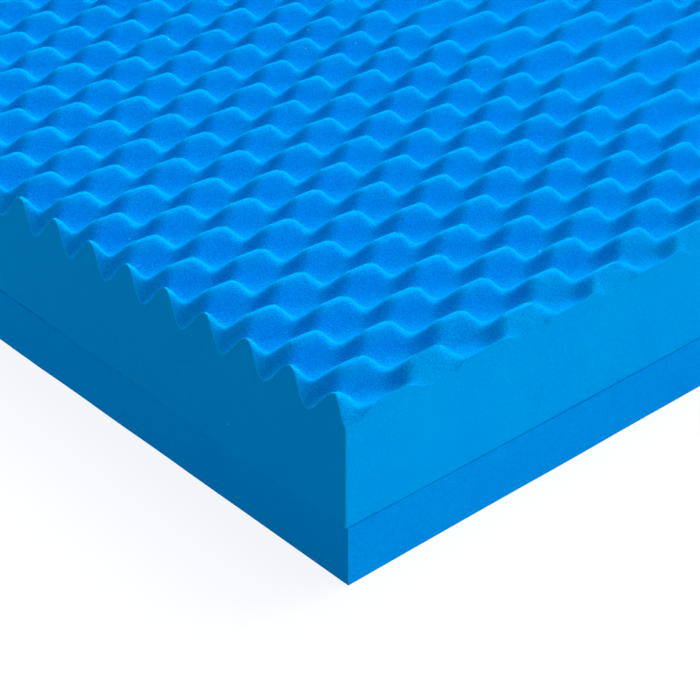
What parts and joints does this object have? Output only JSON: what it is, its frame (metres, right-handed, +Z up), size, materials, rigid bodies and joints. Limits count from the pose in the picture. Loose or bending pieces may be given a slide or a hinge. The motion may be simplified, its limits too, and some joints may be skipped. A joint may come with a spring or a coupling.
{
  "type": "foam mattress",
  "caption": "Rectangular foam mattress: a flat base slab glued under a thick layer whose top is profile-cut into staggered rounded bumps.",
  "frame": {"origin": "on the floor under the middle of the mattress", "axes": "+X along the length, +Y across the width, +Z up out of the profiled top"},
  "size_m": [2, 0.9, 0.15],
  "materials": {
    "foam_profiled": "matte open-cell foam, cut surface",
    "foam_base": "matte open-cell foam, cut surface"
  },
  "bodies": {
    "root": {"profiled_layer": "foam_profiled", "base_slab": "foam_base"}
  },
  "joints": []
}
